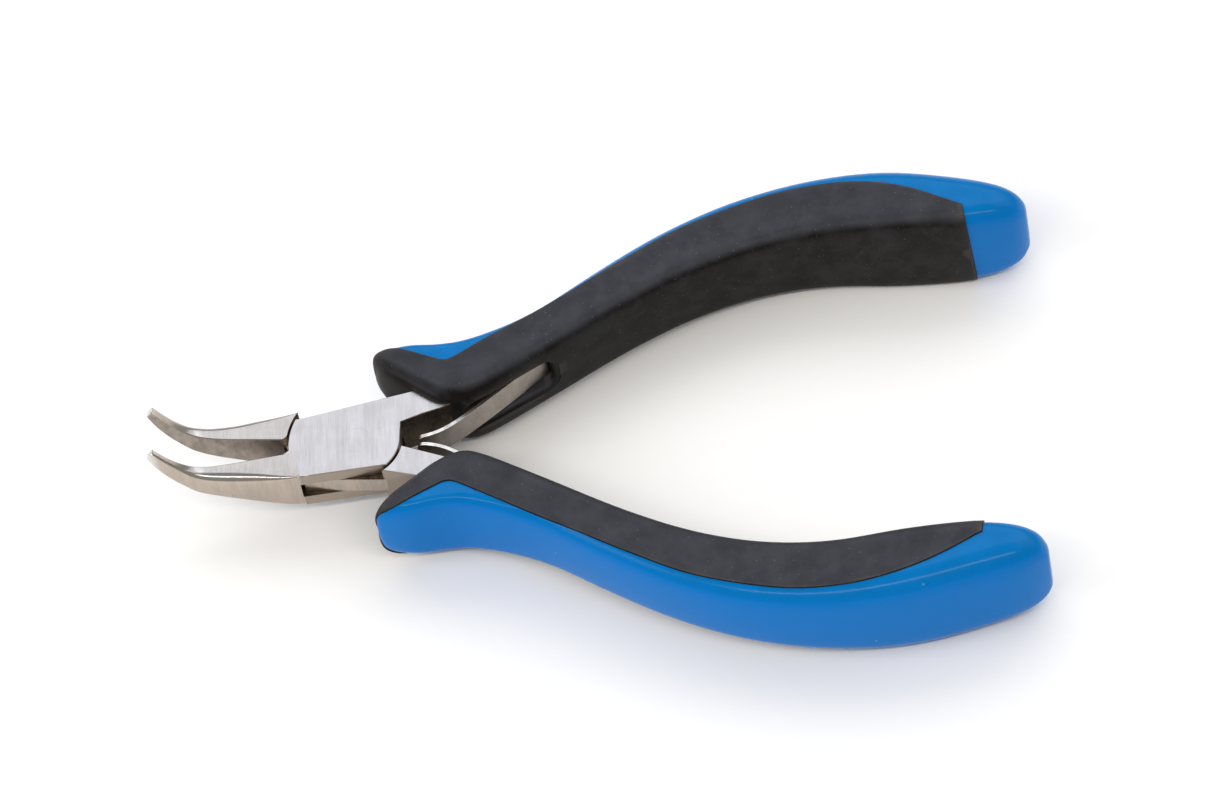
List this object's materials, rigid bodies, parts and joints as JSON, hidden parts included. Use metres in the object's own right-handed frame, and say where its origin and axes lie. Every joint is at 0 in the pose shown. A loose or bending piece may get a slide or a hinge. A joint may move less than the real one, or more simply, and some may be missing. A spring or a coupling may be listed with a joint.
{
  "type": "needle nose pliers",
  "caption": "Bent needle nose pliers with a box joint, spring-opened handles, and hard-and-soft moulded grips.",
  "frame": {"origin": "centre of the pivot rivet on the joint's flat underside, pliers sprung open at rest", "axes": "+X from the jaws to the handles along the line that halves the opening, +Y towards the handle of the box half, +Z along the rivet, the way the jaw tips bend"},
  "size_m": [0.1271, 0.0738, 0.0199],
  "materials": {
    "ground_steel": "cross-brushed flat faces, satin sides, polished round edges",
    "spring_steel": "dull rolled strip with bright edges",
    "hard_plastic": "satin-gloss moulded plastic",
    "soft_rubber": "matte soft-touch moulding, lightly scuffed"
  },
  "bodies": {
    "box_side": {"box_half": "ground_steel", "pivot_rivet": "ground_steel", "grip_shell_upper": "hard_plastic", "grip_insert_upper": "soft_rubber", "leaf_rivet_upper": "ground_steel"},
    "tongue_side": {"tongue_half": "ground_steel", "grip_shell_lower": "hard_plastic", "grip_insert_lower": "soft_rubber", "leaf_rivet_lower": "ground_steel"},
    "upper_leaf": {"leaf_spring_upper": "spring_steel"},
    "lower_leaf": {"leaf_spring_lower": "spring_steel"}
  },
  "joints": [
    {"name": "pivot", "type": "hinge", "parent": "box_side", "child": "tongue_side", "pos_m": [0, 0, 0.00365], "axis": [0, 0, 1], "range_deg": [0, 12], "stiffness_Nm_per_rad": 1.2, "springref_deg": -8.59},
    {"name": "upper_leaf_flex", "type": "hinge", "parent": "box_side", "child": "upper_leaf", "pos_m": [0.0277, 0.0132, 0.00365], "axis": [0, 0, 1], "range_deg": [-2.5, 0]},
    {"name": "lower_leaf_flex", "type": "hinge", "parent": "tongue_side", "child": "lower_leaf", "pos_m": [0.0277, -0.0132, 0.00365], "axis": [0, 0, 1], "range_deg": [0, 2.5]}
  ],
  "couplings": [
    {"joint": "upper_leaf_flex", "follows": "pivot", "ratio": -0.207},
    {"joint": "lower_leaf_flex", "follows": "pivot", "ratio": 0.207}
  ]
}
